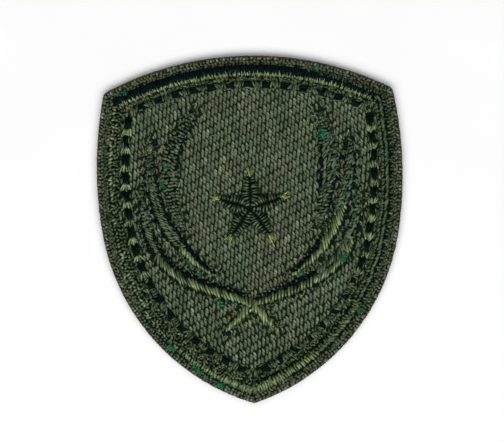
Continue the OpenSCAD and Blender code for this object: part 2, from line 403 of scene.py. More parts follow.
def grain_tree():
    """Twill floats on a slanted grid, kept over a field and ruffled beside the stitching."""
    t = Tree(
        "twill_grains", Object="Field, Stitching", Vector="Next float, Next row",
        Int="Columns, Rows, Sides, Seed", Material="Yarn",
        Float="Level, Unevenness, Grain width, Grain length, Grain height, Lean, Rise, Bow, "
        "Skew, Turn spread, Shift spread, Size spread, Ruffled to, Calm from, Loose below, "
        "Firm from, Looseness, Ruffled turn, Ruffled shift, Ruffled shrink, Least ruffle",
    )
    grid = t.add("GeometryNodeMeshGrid", {
        "Size X": t["Columns"] - 1.0, "Size Y": t["Rows"] - 1.0,
        "Vertices X": t["Columns"], "Vertices Y": t["Rows"],
    })
    column, row, _ = t.parts(t.here())
    steps = [
        t.add("ShaderNodeVectorMath", {0: t[label], "Scale": count}, operation="SCALE")
        for label, count in (("Next float", column), ("Next row", row))
    ]
    grid = t.moved(grid, t.vectors("ADD", *steps))
    x, y, _ = t.parts(t.here())
    _, inside = t.level_under("Field", x, y)
    outside = t.add("FunctionNodeBooleanMath", {0: inside}, operation="NOT")
    grid = t.without(grid, outside)
    away = t.add(
        "GeometryNodeProximity", {"Geometry": t.shape("Stitching")}, target_element="EDGES",
    ).out("Distance")
    pulled = t.eased(away, t["Ruffled to"], t["Calm from"], 1.0, 0.0)
    loose = t.eased(y, t["Loose below"], t["Firm from"], t["Looseness"], 0.0)
    grid = t.keep(grid, "ruffle", t.math("MAXIMUM", pulled, loose))
    ruffle = t.kept("ruffle")
    grid = t.without(grid, t.math("LESS_THAN", ruffle, t["Least ruffle"]))
    number = t.add("GeometryNodeInputIndex")
    stray = ruffle * t["Ruffled shift"] + t["Shift spread"]
    level = t.stray(number, 4, "Unevenness") + t["Level"]
    shift = t.vector(t.chance(number, 1) * stray, t.chance(number, 2) * stray, level)
    grid = t.moved(grid, t.vectors("ADD", t.here(), shift))
    grid = t.keep(grid, "shade", t.chance(number, 3, 0.0))

    line = t.add("GeometryNodeCurvePrimitiveLine", {"Start": (0, -1, 0), "End": (0, 1, 0)})
    line = t.resampled(line, "Count", FLOAT_RINGS)
    run = t.parts(t.here())[1]
    # The rings crowd towards the ends, which turn down into the cloth.
    crowd = t.math("SINE", run * (math.pi / 2))
    arch = crowd * t["Rise"] - crowd ** 8.0 * FLOAT_DROP
    side = (1.0 - run ** 2.0) * t["Bow"]
    line = t.moved(line, t.vector(side, crowd, arch))
    girth = 1.0 - run ** 8.0 * FLOAT_THINNING
    grain = t.swept(line, girth * 0.5, t["Sides"])
    x, y, z = t.parts(t.here())
    # Painted shade on the float's low flanks, and a painted shadow on its south end under the next
    # float's head.
    shade_mask = t.math("MAXIMUM", t.eased(z, *FLANK_SHADE), t.eased(y, *END_SHADOW))
    grain = t.keep(grain, "tucked", shade_mask)
    # Painted highlight on the float's head, its north end.
    grain = t.keep(grain, "head", t.eased(y, *HIGHLIGHT_START) * t.eased(y, *HIGHLIGHT_STOP))
    # The ends lie askew, as the floats press past each other.
    grain = t.moved(grain, t.vector(x, x * t["Skew"] + y, z))
    swell = [
        t.stray(number, draw, "Size spread") + 1.0 + ruffle * t["Ruffled shrink"]
        for draw in (5, 6)
    ]
    scale = t.vector(
        t["Grain width"] * swell[0], t["Grain length"] * 0.5 * swell[1],
        t["Grain height"],
    )
    spread = ruffle * t["Ruffled turn"] + t["Turn spread"]
    turn = t.vector(0.0, 0.0, t.chance(number, 7) * spread + t["Lean"])
    grains = t.add("GeometryNodeInstanceOnPoints", {
        "Points": grid, "Instance": grain, "Scale": scale,
        "Rotation": t.add("FunctionNodeEulerToRotation", {"Euler": turn}),
    })
    return t.finish(grains, "Yarn")


def worked(name, start, tree, sizes):
    """Runs a tree on a starting mesh and keeps what it makes as a plain mesh."""
    holder = bpy.data.objects.new(name, start)
    bpy.context.scene.collection.objects.link(holder)
    modifier = holder.modifiers.new("work", "NODES")
    modifier.node_group = tree
    for item in tree.interface.items_tree:
        if item.item_type == "SOCKET" and item.in_out == "INPUT" and item.name in sizes:
            modifier[item.identifier] = sizes[item.name]
    graph = bpy.context.evaluated_depsgraph_get()
    graph.update()
    mesh = bpy.data.meshes.new_from_object(holder.evaluated_get(graph), depsgraph=graph)
    holder.modifiers.remove(modifier)
    bpy.data.objects.remove(holder)
    return placed(name, mesh)


def placed(name, mesh):
    part = bpy.data.objects.new(name, mesh)
    bpy.context.scene.collection.objects.link(part)
    return part


def merged(name, objects):
    """Joins objects into one, which takes the name."""
    first = objects[0]
    if len(objects) > 1:
        with bpy.context.temp_override(
            active_object=first, object=first, selected_objects=objects,
            selected_editable_objects=objects,
        ):
            bpy.ops.object.join()
    first.name = name
    first.data.name = name
    return first


def toward(angle, length=1.0):
    return length * Vector((math.cos(angle), math.sin(angle)))


def on_circle(centre, radius, angle):
    return centre + toward(angle, radius)


def bearing(start, end):
    return math.atan2(end.y - start.y, end.x - start.x)


def circles_meet(c1, r1, c2, r2):
    """The point at r1 from c1 and r2 from c2, on the right of the way from c1 to c2."""
    way = c2 - c1
    apart = way.length
    way /= apart
    along = (apart ** 2 + r1 ** 2 - r2 ** 2) / (2 * apart)
    aside = math.sqrt(r1 ** 2 - along ** 2)
    return c1 + along * way + aside * Vector((way.y, -way.x))


SIDE_CENTRE = Vector((PATCH_W / 2 - UPPER_SIDE_R, 0))
LOW_CENTRE = on_circle(SIDE_CENTRE, UPPER_SIDE_R - LOWER_SIDE_R, -LOWER_SIDE_START)
TOP_CENTRE = Vector((0, TOP_ABOVE_WAIST - TOP_EDGE_R))


def tip_centre(round_r, side_r):
    drop = math.sqrt((side_r - round_r) ** 2 - LOW_CENTRE.x ** 2)
    return Vector((0, LOW_CENTRE.y - drop))


WAIST_SHIFT = Vector((0, (TOP_ABOVE_WAIST + tip_centre(CORNER_R, LOWER_SIDE_R).y - CORNER_R) / 2))


def half_arcs(inset, round_r):
    """Arcs of the right half of the outline at a depth, from the top to the tip."""
    top_r = TOP_EDGE_R - inset
    side_r = UPPER_SIDE_R - inset
    low_r = LOWER_SIDE_R - inset
    corner = circles_meet(TOP_CENTRE, top_r - round_r, SIDE_CENTRE, side_r - round_r)
    tip = tip_centre(round_r, low_r)
    top_end = bearing(TOP_CENTRE, corner)
    side_from = bearing(SIDE_CENTRE, corner)
    tip_from = bearing(LOW_CENTRE, tip)
    return [
        (TOP_CENTRE, top_r, math.pi / 2, top_end),
        (corner, round_r, top_end, side_from),
        (SIDE_CENTRE, side_r, side_from, -LOWER_SIDE_START),
        (LOW_CENTRE, low_r, -LOWER_SIDE_START, tip_from),
        (tip, round_r, tip_from, -math.pi / 2),
    ]


def shield_path(inset):
    """Closed outline at a depth inside the cut edge, clockwise from the middle of the top."""
    half = []
    for centre, radius, start, end in half_arcs(inset, max(CORNER_R - inset, TIGHT_CORNER_R)):
        steps = max(3, round(radius * abs(start - end) / OUTLINE_STEP))
        half += [
            on_circle(centre, radius, start + (end - start) * i / steps) - WAIST_SHIFT
            for i in range(steps)
        ]
    half.append(on_circle(centre, radius, end) - WAIST_SHIFT)
    return half + [Vector((-p.x, p.y)) for p in half[-2:0:-1]]


def even_outlines(insets):
    """Outlines at several depths, with the same number of points in each."""
    outlines = [shield_path(inset) for inset in insets]
    count = min(len(outline) for outline in outlines)
    return [[outline[i * len(outline) // count] for i in range(count)] for outline in outlines]


def path_mesh(name, runs, closed=False):
    """Edges along runs of (place, reach, turn), which a stitch tree reads."""
    mesh = bpy.data.meshes.new(name)
    points, edges, reaches, turns = [], [], [], []
    for run in runs:
        first = len(points)
        points += [(place.x, place.y, 0) for place, _, _ in run]
        reaches += [reach for _, reach, _ in run]
        turns += [turn for _, _, turn in run]
        edges += [(i, i + 1) for i in range(first, len(points) - 1)]
        if closed:
            edges.append((len(points) - 1, first))
    mesh.from_pydata(points, edges, [])
    for label, values in (("reach", reaches), ("turn", turns)):
        mesh.attributes.new(label, "FLOAT", "POINT").data.foreach_set("value", values)
    return mesh


def outline_run(inset, reach):
    return [(place, reach, 0.0) for place in shield_path(inset)]


def stretch(inset, reach, first, last):
    """The part of the outline at a depth that lies clockwise between two bearings."""
    span = (first - last) % 360
    found = []
    for place in shield_path(inset):
        turned = (first - math.degrees(math.atan2(place.y, place.x))) % 360
        if turned <= span:
            found.append((turned, (place, reach, 0.0)))
    return [row for _, row in sorted(found, key=lambda item: item[0])]


def smooth_rows(rows, steps):
    """Catmull-Rom curve through the rows of a table."""
    rows = [Vector(row) for row in rows]
    rows = [2 * rows[0] - rows[1], *rows, 2 * rows[-1] - rows[-2]]
    curve = []
    for r0, r1, r2, r3 in zip(rows, rows[1:], rows[2:], rows[3:]):
        for k in range(steps):
            s = k / steps
            curve.append((
                2 * r1 + (r2 - r0) * s + (2 * r0 - 5 * r1 + 4 * r2 - r3) * s ** 2
                + (3 * r1 - r0 - 3 * r2 + r3) * s ** 3
            ) / 2)
    return curve + [rows[-2]]


class Finish(Nodes):
    """A material under construction, on the Principled shader."""

    def __init__(self, name, roughness, gloss, tint=(1, 1, 1)):
        self.material = bpy.data.materials.new(name)
        self.material.use_nodes = True
        super().__init__(self.material.node_tree)
        self.shader = self.tree.nodes["Principled BSDF"]
        self.shader.inputs["Roughness"].default_value = roughness
        self.shader.inputs["Specular IOR Level"].default_value = gloss
        self.shader.inputs["Specular Tint"].default_value = (*tint, 1)
        self.place = self.add("ShaderNodeTexCoord").out("Object")

    def attribute(self, label):
        return self.add("ShaderNodeAttribute", attribute_name=label).out("Fac")

    def cloud(self, scale, detail):
        return self.add(
            "ShaderNodeTexNoise", {"Vector": self.place, "Scale": scale, "Detail": detail},
        )

    def twist(self, pitch):
        """Slanted bands, as the plies of a yarn show."""
        return self.add(
            "ShaderNodeTexWave",
            {"Vector": self.place, "Scale": WAVE_PITCH / pitch, "Distortion": 2.5, "Detail": 1.0},
            bands_direction="DIAGONAL",
        ).out("Fac")

    def ramp(self, value, shades):
        """Colours by position on a scale from 0 to 1."""
        colour = self.add("ShaderNodeValToRGB", {"Fac": value}).out("Color")
        stops = colour.socket.node.color_ramp.elements
        while len(stops) < len(shades):
            stops.new(0.5)
        for stop, (position, shade) in zip(stops, shades):
            stop.position = position
            stop.color = (*shade, 1)
        return colour

    def times(self, colour, by):
        return self.add(
            "ShaderNodeMix", {"Factor": 1.0, "A": colour, "B": by},
            data_type="RGBA", blend_type="MULTIPLY",
        ).out(2)

    def bumped(self, height, strength, depth):
        bump = self.add(
            "ShaderNodeBump", {"Height": height, "Strength": strength, "Distance": depth},
        )
        self.tree.links.new(bump.socket, self.shader.inputs["Normal"])

    def coloured(self, colour):
        """The material, now with its colour."""
        self.tree.links.new(colour.socket, self.shader.inputs["Base Color"])
        return self.material


# Faded, plain and sun-browned places in the dye, as tints along a scale
DYE_PATCHES = [
    (0.34, (0.88, 0.99, 0.93)), (0.48, (0.98, 1.0, 0.98)), (0.60, (1.02, 1.0, 0.97)),
    (0.70, (1.08, 0.99, 0.95)),
]
# Patterns: scales of the clouds, pitch of the plies and the weave, and a wave's pitch at scale 1
DRIFT_SCALE = 240
DYE_SCALE = 330
FIBRE_SCALE = 9000
FLOW_SCALE = 900
BOARD_SCALE = 60
PLY_PITCH = 0.42 * MM
WEAVE_PITCH = 0.57 * MM
WAVE_PITCH = 0.444
THREAD_TINT = (0.84, 1.0, 0.70)
SHADED_TINT = (0.5, 0.85, 1.0)
DASH_SHADE_TINT = (0.5, 0.9, 0.75)
CLOTH_TINT = (0.9, 1.0, 0.86)
PLY_SHADES = [(0.0, (0.54, 0.57, 0.52)), (0.5, (1.0, 1.0, 1.0)), (1.0, (1.35, 1.35, 1.35))]
# Painted highlight on each float's head, as a scale of brightening
HEAD_HIGHLIGHT_SHADES = [(0.0, (1.0, 1.0, 1.0)), (1.0, (2.9, 2.9, 2.95))]

# Shades of the threads and yarns, from the darkest strands to the palest
SHADED = [(0.0, (0.0004, 0.002, 0.0024)), (1.0, (0.0014, 0.0045, 0.0052))]
DASH_SHADE = [(0.0, (0.0003, 0.0016, 0.0010)), (1.0, (0.0010, 0.0038, 0.0026))]
DUSK = [(0.0, (0.004, 0.010, 0.004)), (0.5, (0.014, 0.026, 0.012)), (1.0, (0.052, 0.070, 0.034))]
LEAF = [(0.0, (0.008, 0.020, 0.008)), (0.4, (0.030, 0.047, 0.026)), (1.0, (0.074, 0.098, 0.060))]
OLIVE = [
    (0.0, (0.006, 0.012, 0.005)), (0.3, (0.028, 0.041, 0.016)), (0.7, (0.066, 0.086, 0.036)),
    (1.0, (0.115, 0.140, 0.070)),
]
LIT_OLIVE = [
    (0.0, (0.010, 0.018, 0.006)), (0.25, (0.040, 0.058, 0.020)), (0.7, (0.085, 0.110, 0.044)),
    (1.0, (0.150, 0.180, 0.085)),
]
SIDE = [
    (0.0, (0.010, 0.019, 0.008)), (0.5, (0.024, 0.037, 0.017)), (0.9, (0.050, 0.067, 0.036)),
    (1.0, (0.085, 0.105, 0.060)),
]
BAND = [(0.0, (0.022, 0.034, 0.011)), (0.4, (0.062, 0.084, 0.031)), (1.0, (0.115, 0.145, 0.062))]
CORD = [(0.0, (0.012, 0.021, 0.008)), (0.5, (0.031, 0.045, 0.019)), (1.0, (0.062, 0.082, 0.040))]
TUFT = [(0.0, (0.055, 0.070, 0.015)), (1.0, (0.20, 0.225, 0.06))]
SNAG = [(0.0, (0.002, 0.022, 0.010)), (1.0, (0.006, 0.105, 0.050))]
STRAY = [(0.0, (0.05, 0.065, 0.04)), (1.0, (0.12, 0.14, 0.09))]
SHADED_UNDERLAY = [(0.0, (0.001, 0.003, 0.002)), (1.0, (0.003, 0.006, 0.004))]
FUSED_SHADED = [(0.0, (0.018, 0.016, 0.010)), (1.0, (0.040, 0.036, 0.024))]
SHADOW = [(0.0, (0.003, 0.007, 0.002)), (1.0, (0.009, 0.016, 0.007))]
MARGIN = [(0.0, (0.026, 0.030, 0.017)), (0.6, (0.052, 0.058, 0.035)), (1.0, (0.105, 0.112, 0.075))]
CLOTH = [
    (0.0, (0.027, 0.037, 0.020)), (0.5, (0.039, 0.049, 0.028)), (0.96, (0.055, 0.069, 0.041)),
    (1.0, (0.078, 0.095, 0.061)),
]
# Finishes by name: shades, roughness, gloss and, where it isn't the usual one, the gloss's tint
THREADS = {
    "border_thread": (OLIVE, 0.34, 0.9),
    "wreath_thread": (OLIVE, 0.34, 0.9),
    "cord_thread": (CORD, 0.45, 0.5),
    "band_thread": (BAND, 0.36, 0.8),
    # Lit copies of the olive thread, on the blades' south sides and the dashes' fans: painted
    # highlight.
    "bright_thread": (LIT_OLIVE, 0.34, 0.9),
    "fan_thread": (LIT_OLIVE, 0.36, 0.9),
    # Near-black copies of the thread on shaded flanks, in grooves and in pits: painted shade.
    "night_thread": (SHADED, 0.6, 0.12, SHADED_TINT),
    "hole_thread": (SHADED, 0.6, 0.12, SHADED_TINT),
    # The dashes' near-black bundles: painted shade.
    "dash_thread": (DASH_SHADE, 0.6, 0.12, DASH_SHADE_TINT),
    "leaf_thread": (LEAF, 0.5, 0.3, CLOTH_TINT),
    "star_thread": (DUSK, 0.38, 0.6),
    "side_thread": (SIDE, 0.42, 0.5),
    "tuft_thread": (TUFT, 0.38, 0.8),
    "snag_thread": (SNAG, 0.5, 0.2),
    "stray_thread": (STRAY, 0.45, 0.4),
}
# The same for yarns, with the strength of the fibres' bump, and where the weave shows, the colour of
# the painted shade at the ends, the pitch of the plies and the spread of the shades over the cloth
YARNS = {
    # Near-black underlay under the satin, showing in the gaps between strands: painted shade.
    "packed_thread": (SHADED_UNDERLAY, 0.7, 0.1, THREAD_TINT, 0.8),
    # Dark brown of the cut edge's bead and wall: partly a melted edge, partly painted shade.
    "fused_yarn": (FUSED_SHADED, 0.6, 0.3, THREAD_TINT, 0.8),
    "twill_shadow": (SHADOW, 0.8, 0.1, THREAD_TINT, 0.8),
    "margin_yarn": (MARGIN, 0.5, 0.35, THREAD_TINT, 0.5, (0.12, 0.16, 0.1), PLY_PITCH),
    "twill_yarn": (CLOTH, 0.5, 0.35, CLOTH_TINT, 0.5, (0.12, 0.2, 0.1), PLY_PITCH, 0.2),
}


def fabric(
    name, shades, roughness, gloss, tint=THREAD_TINT, fibre=0.4, shade_colour=(0.25, 0.4, 0.25), ply=None,
    drift=0.4,
):
    """Yarn or thread: a shade per strand, patches in the dye, painted shade where it dives in."""
    m = Finish(name, roughness, gloss, tint)
    drift = (m.cloud(DRIFT_SCALE, 3.0) - 0.5) * drift
    colour = m.ramp(m.attribute("shade") + drift, shades)
    colour = m.times(colour, m.ramp(m.cloud(DYE_SCALE, 2.0), DYE_PATCHES))
    # Painted shade, darker where the strands dive into the cloth.
    colour = m.times(colour, m.ramp(m.attribute("tucked"), [(0.0, (1, 1, 1)), (1.0, shade_colour)]))
    if ply:
        colour = m.times(colour, m.ramp(m.twist(ply), PLY_SHADES))
        # Painted highlight on each float's head.
        colour = m.times(colour, m.ramp(m.attribute("head"), HEAD_HIGHLIGHT_SHADES))
    m.bumped(m.cloud(FIBRE_SCALE, 2.0), fibre, 0.02 * MM)
    return m.coloured(colour)


def film():
    """Hot-melt film: milky and glossy, with the weave pressed through where it flowed."""
    m = Finish("heat_seal_film", 0.32, 0.5)
    flow = m.cloud(FLOW_SCALE, 4.0)
    weave = m.twist(WEAVE_PITCH)
    shades = [(0.0, (0.36, 0.38, 0.33)), (0.5, (0.47, 0.49, 0.44)), (1.0, (0.60, 0.61, 0.56))]
    m.bumped(weave * 0.6 + flow, 0.5, 0.05 * MM)
    return m.coloured(m.ramp(weave * 0.22 + flow, shades))


def make_materials():
    finishes = {name: fabric(name, *row) for name, row in {**THREADS, **YARNS}.items()}
    finishes["heat_seal_film"] = film()
    return finishes


def cloth_slab(material):
    """The cut cloth: a slab whose edge is rounded by the hot knife."""
    rings = [
        (0.12 * MM, CLOTH_LOW), (0.03 * MM, CLOTH_LOW + 0.1 * MM), (0.0, CLOTH_LOW + 0.35 * MM),
        (0.02 * MM, GROUND_TOP - 0.2 * MM), (0.14 * MM, GROUND_TOP - 0.03 * MM),
        (0.3 * MM, GROUND_TOP),
    ]
    outlines = even_outlines([inset for inset, _ in rings])
    points = [(*place, level) for outline, (_, level) in zip(outlines, rings) for place in outline]
    faces = []
    count = len(outlines[0])
    for k in range(len(rings) - 1):
        for i in range(count):
            j = (i + 1) % count
            low, high = k * count, (k + 1) * count
            faces.append((low + j, low + i, high + i, high + j))
    faces.append(tuple(range(count)))
    faces.append(tuple(range(len(points) - 1, len(points) - 1 - count, -1)))
    mesh = bpy.data.meshes.new("twill_cloth")
    mesh.from_pydata(points, [], faces)
    mesh.materials.append(material)
    mesh.update()
    return placed("twill_cloth", mesh)


def bare_cloth(inset):
    """A flat shield inside the border, where the weave shows."""
    outline = shield_path(inset)
    mesh = bpy.data.meshes.new("field")
    mesh.from_pydata([(*place, 0) for place in outline], [], [tuple(range(len(outline)))])
    return placed("field", mesh)


def stitching_lines():
    """Middle lines of the wreath and the border, which pull the cloth about."""
    runs = [
        [(Vector(row[:2]) * MM, 0.0, 0.0) for row in smooth_rows(rows, 2)]
        for rows in BLADES.values()
    ]
    below = (RIGHT, LOW_RIGHT, LOW_LEFT, LEFT)
    runs += [stretch(PULL_INSET, 0.0, *part) for part in below]
    runs.append(stretch(BORDER_INSET, 0.0, *TOP))
    return placed("stitching", path_mesh("stitching", runs))


NEXT_FLOAT = Vector((0.5716, 0.3116, 0)) * MM
NEXT_ROW = Vector((-0.1172, -1.365, 0)) * MM
FIELD_INSET = 2.95 * MM
PULL_INSET = 3.2 * MM
# One float, whose length runs from -1 to 1 and whose height is 1: its rings, how far its ends turn
# down and thin out, and where it takes painted shade and a painted highlight on its head
FLOAT_RINGS = 6
FLOAT_DROP = 0.5
FLOAT_THINNING = 0.42
FLANK_SHADE = (0.1, -0.7)
END_SHADOW = (-0.55, -0.95, 0.0, 0.80)
HIGHLIGHT_START = (0.4, 0.8)
HIGHLIGHT_STOP = (1.0, 0.95)


def twill_floats(tree, material):
    """The weave's floats, and loops where the sewing has pulled it about."""
    field = bare_cloth(FIELD_INSET)
    lines = stitching_lines()
    floats = {
        "Field": field, "Stitching": lines, "Columns": 130, "Rows": 60,
        "Next float": NEXT_FLOAT, "Next row": NEXT_ROW, "Level": GROUND_TOP + 0.05 * MM,
        "Unevenness": 0.03 * MM, "Grain width": 0.56 * MM, "Grain length": 1.16 * MM,
        "Grain height": 0.30 * MM, "Lean": -0.12, "Rise": 0.45, "Bow": 0.0, "Skew": -0.62,
        "Turn spread": 0.11, "Shift spread": 0.055 * MM, "Size spread": 0.11,
        "Ruffled to": 0.9 * MM, "Calm from": 2.0 * MM, "Loose below": -12 * MM,
        "Firm from": -8 * MM, "Looseness": 0.2, "Ruffled turn": 0.5,
        "Ruffled shift": 0.16 * MM, "Ruffled shrink": -0.24, "Least ruffle": 0.0,
        "Sides": 6, "Seed": 3, "Yarn": material,
    }
    loops = {
        **floats, "Next float": NEXT_FLOAT * 1.25, "Next row": NEXT_ROW * 0.62,
        "Columns": 110, "Rows": 100, "Level": GROUND_TOP + 0.12 * MM, "Grain width": 0.33 * MM,
        "Grain length": 0.80 * MM, "Least ruffle": 0.35, "Ruffled turn": 1.5, "Bow": 0.5,
        "Ruffled shift": 0.3 * MM, "Rise": 0.0, "Sides": 5, "Seed": 5,
    }
    layers = [
        worked("twill", bpy.data.meshes.new("start"), tree, sizes)
        for sizes in (floats, loops)
    ]
    bpy.data.objects.remove(field)
    bpy.data.objects.remove(lines)
    return merged("twill_floats", layers)


STITCHES = {
    "Ground": CLOTH_TOP - 0.05 * MM, "Relief": 1.0, "Spacing": 0.36 * MM, "Slant": 0.0,
    "Slant spread": 0.15, "Cross share": 0.0, "Reach spread": 0.10,
    "Shift spread": 0.12 * MM, "Bend": 0.06 * MM, "Arch": 0.0, "Lift": 0.0,
    "Lift spread": 0.07 * MM, "Tilt spread": 0.08 * MM, "Dip": 0.14 * MM,
    "Thread radius": 0.18 * MM, "Radius spread": 0.14, "Taper": 0.45,
    "Points": 6, "Sides": 6, "Seed": 11,
}


def stitched(finishes, name, form, runs, thread, closed=False, tree="stitch_tree", **changes):
    """Strands across the given runs, or along them, laid over one of the frame's nodes."""
    sizes = {label.replace("_", " "): value for label, value in changes.items()}
    return worked(name, path_mesh(name, runs, closed), finishes[tree], {
        **STITCHES, "Form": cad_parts[form], "Thread": finishes[thread], **sizes,
    })


def margin_grains(finishes):
    """The last yarns before the cut edge, which end in short stubby grains."""
    rows = [
        stitched(
            finishes, "twill_margin", "adhesive_film", [outline_run(inset * MM, half * MM)],
            thread, closed=True, Ground=GROUND_TOP, Spacing=spacing * MM, Slant=slant,
            Slant_spread=0.7, Shift_spread=0.10 * MM, Reach_spread=0.35, Arch=0.08 * MM,
            Bend=0.12 * MM, Points=5, Thread_radius=radius * MM,
            Radius_spread=0.25, Seed=40 + row,
        )
        for row, (inset, half, spacing, slant, radius, thread) in enumerate((
            (0.36, 0.22, 0.50, -0.35, 0.21, "margin_yarn"),
            (0.80, 0.24, 0.52, 0.9, 0.21, "twill_yarn"),
            (1.22, 0.24, 0.52, -0.9, 0.21, "twill_yarn"),
        ))
    ]
    return merged("twill_margin", rows)


def fused_edge(finishes):
    """The melted bead the hot knife left round the cut, partly painted shade, and the yarn ends
    below.
    """
    bead = stitched(
        finishes, "bead", "adhesive_film", [outline_run(0.10 * MM, 0.0)], "fused_yarn",
        closed=True, tree="thread_tree", Ground=GROUND_TOP - 0.02 * MM, Spacing=0.4 * MM,
        Wander=0.02 * MM, Hump=0.0, Thread_radius=0.11 * MM, Radius_spread=0.3, Seed=51,
    )
    ends = [
        stitched(
            finishes, "ends", "adhesive_film", [outline_run(0.16 * MM, 0.15 * MM)],
            "fused_yarn", closed=True, Ground=level * MM, Spacing=0.45 * MM,
            Slant_spread=0.4, Shift_spread=0.04 * MM, Tilt_spread=0.04 * MM, Dip=0.0,
            Thread_radius=0.16 * MM, Points=3, Taper=0.2, Seed=52 + row,
        )
        for row, level in enumerate((0.38, 0.72))
    ]
    return merged("fused_edge", [bead, *ends])


def core_of(node, material, level=0.72):
    """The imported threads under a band: a copy of the frame's form, pressed a little lower."""
    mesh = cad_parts[node].data.copy()
    press = Matrix.Translation((0, 0, CLOTH_TOP)) @ Matrix.Diagonal((1, 1, level, 1))
    mesh.transform(press @ Matrix.Translation((0, 0, -CLOTH_TOP)))
    mesh.materials.clear()
    # The near-black underlay is painted shade, seen in the gaps between strands.
    mesh.materials.append(material)
    return placed("core", mesh)


# How the border is sewn: stretch, depth and half length in millimetres, slant, spread, share of
# crossing strands, spacing and radius in millimetres, spread of the length, and thread
BORDER_WORK = [
    # Near-black rows on the ridge's north flank and in its grooves are painted shade.
    (TOP, 1.93, 0.60, 0.10, 0.18, 0.0, 0.34, 0.165, 0.2, "night"),
    (TOP, 1.72, 0.36, -0.2, 0.25, 0.0, 0.50, 0.165, 0.4, "night"),
    (TOP, 2.74, 0.25, 0.10, 0.25, 0.0, 0.30, 0.150, 0.35, "bright"),
    (TOP, 2.58, 0.46, -0.1, 0.35, 0.2, 0.55, 0.085, 0.6, "bright"),
    (TOP, 3.36, 0.26, 0.9, 0.5, 0.5, 0.56, 0.170, 0.3, "side"),
    (RIGHT, 1.52, 0.34, 0.4, 0.5, 0.3, 0.50, 0.185, 0.3, "side"),
    (RIGHT, 1.78, 0.14, 0.0, 0.2, 0.0, 0.80, 0.210, 0.3, "night"),
    (RIGHT, 2.27, 0.40, 1.15, 0.25, 0.0, 0.42, 0.180, 0.3, "cord"),
    (RIGHT, 2.92, 0.26, 0.2, 0.4, 0.0, 0.48, 0.165, 0.35, "side"),
    (RIGHT, 2.92, 0.30, 1.1, 0.3, 0.0, 0.60, 0.160, 0.3, "cord"),
    (LEFT, 1.42, 0.30, 0.8, 0.6, 0.4, 0.52, 0.200, 0.4, "side"),
    (LEFT, 2.02, 0.30, 0.7, 0.5, 0.3, 0.52, 0.205, 0.3, "border"),
    (LEFT, 2.54, 0.28, 0.8, 0.7, 0.4, 0.56, 0.200, 0.4, "side"),
    (LEFT, 3.04, 0.28, 0.8, 0.7, 0.4, 0.56, 0.195, 0.4, "side"),
    (LOW_RIGHT, 1.34, 0.15, 0.1, 0.4, 0.0, 0.55, 0.150, 0.3, "night"),
    (BENEATH_RIGHT, 2.00, 0.44, 0.1, 0.2, 0.0, 0.36, 0.185, 0.25, "band"),
    (ROUND_RIGHT, 2.04, 0.42, 0.7, 0.3, 0.0, 0.40, 0.180, 0.3, "cord"),
    (ROUND_RIGHT, 1.90, 0.30, 0.9, 0.3, 0.0, 0.60, 0.165, 0.3, "band"),
    (LOW_RIGHT, 2.50, 0.28, -0.2, 0.6, 0.3, 0.50, 0.165, 0.5, "cord"),
    (LOW_RIGHT, 3.20, 0.26, 0.6, 0.6, 0.4, 0.46, 0.170, 0.3, "cord"),
    (LOW_LEFT, 1.02, 0.24, 0.1, 0.4, 0.0, 0.42, 0.165, 0.3, "night"),
    (BENEATH_LEFT, 1.62, 0.34, 0.1, 0.25, 0.0, 0.38, 0.185, 0.3, "band"),
    (ROUND_LEFT, 1.60, 0.28, 0.8, 0.7, 0.4, 0.52, 0.195, 0.4, "border"),
    (LOW_LEFT, 2.15, 0.34, 0.6, 0.6, 0.4, 0.50, 0.170, 0.3, "side"),
    (LOW_LEFT, 2.70, 0.34, 0.6, 0.6, 0.4, 0.50, 0.170, 0.3, "side"),
    (LOW_LEFT, 3.14, 0.26, 0.6, 0.6, 0.4, 0.42, 0.170, 0.3, "border"),
    (TIP, 1.72, 0.50, 0.0, 0.15, 0.0, 0.38, 0.190, 0.3, "band"),
    (TOP_RIGHT, 1.50, 0.34, 0.4, 0.5, 0.3, 0.40, 0.190, 0.3, "side"),
]


def border(finishes):
    """Strands over the ridge: long above and below, short and curly down both sides."""
    layers = []
    for part, depth, half, slant, spread, crossing, spacing, radius, uneven, thread in BORDER_WORK:
        layers.append(stitched(
            finishes, "border", "border_ridge", [stretch(depth * MM, half * MM, *part)],
            thread + "_thread", Slant=slant, Slant_spread=spread, Cross_share=crossing,
            Spacing=spacing * MM, Reach_spread=uneven, Bend=0.14 * MM, Arch=0.06 * MM,
            Tilt_spread=0.12 * MM, Thread_radius=radius * MM, Seed=20 + len(layers),
        ))
    layers.append(core_of("border_ridge", finishes["packed_thread"]))
    return merged("border_satin", layers)


def on_arc(arc, run):
    """Place and bearing at a way along an arc."""
    centre, radius, start, _ = arc
    angle = start - run / radius
    return on_circle(centre, radius, angle) - WAIST_SHIFT, angle


def dash_places():
    """Centre and bearing of each dash on the outline's arcs, as the frame has them."""
    top, _, side, low, _ = half_arcs(DASH_INSET, 0.0)
    top_len, side_len, low_len = (r * (start - end) for _, r, start, end in (top, side, low))
    top_pitch = 2 * (top_len - DASH_CORNER_ROOM) / DASHES_ON_TOP
    side_pitch = (side_len + low_len - 2 * DASH_CORNER_ROOM) / DASHES_ON_SIDE
    places = [
        on_arc(top, ((DASHES_ON_TOP - 1) / 2 - i) * top_pitch) for i in range(DASHES_ON_TOP)
    ]
    for i in range(DASHES_ON_SIDE):
        run = DASH_CORNER_ROOM + (i + 0.5) * side_pitch
        spot, angle = on_arc(side, run) if run < side_len else on_arc(low, run - side_len)
        places += [(spot, angle), (Vector((-spot.x, spot.y)), math.pi - angle)]
    return places


def splayed(middle, way, reach, splay=0.0, sides=(-1, 1)):
    """A short run either way from a middle, whose strands splay outwards."""
    return [(middle + way * side, reach, side * splay) for side in sides]


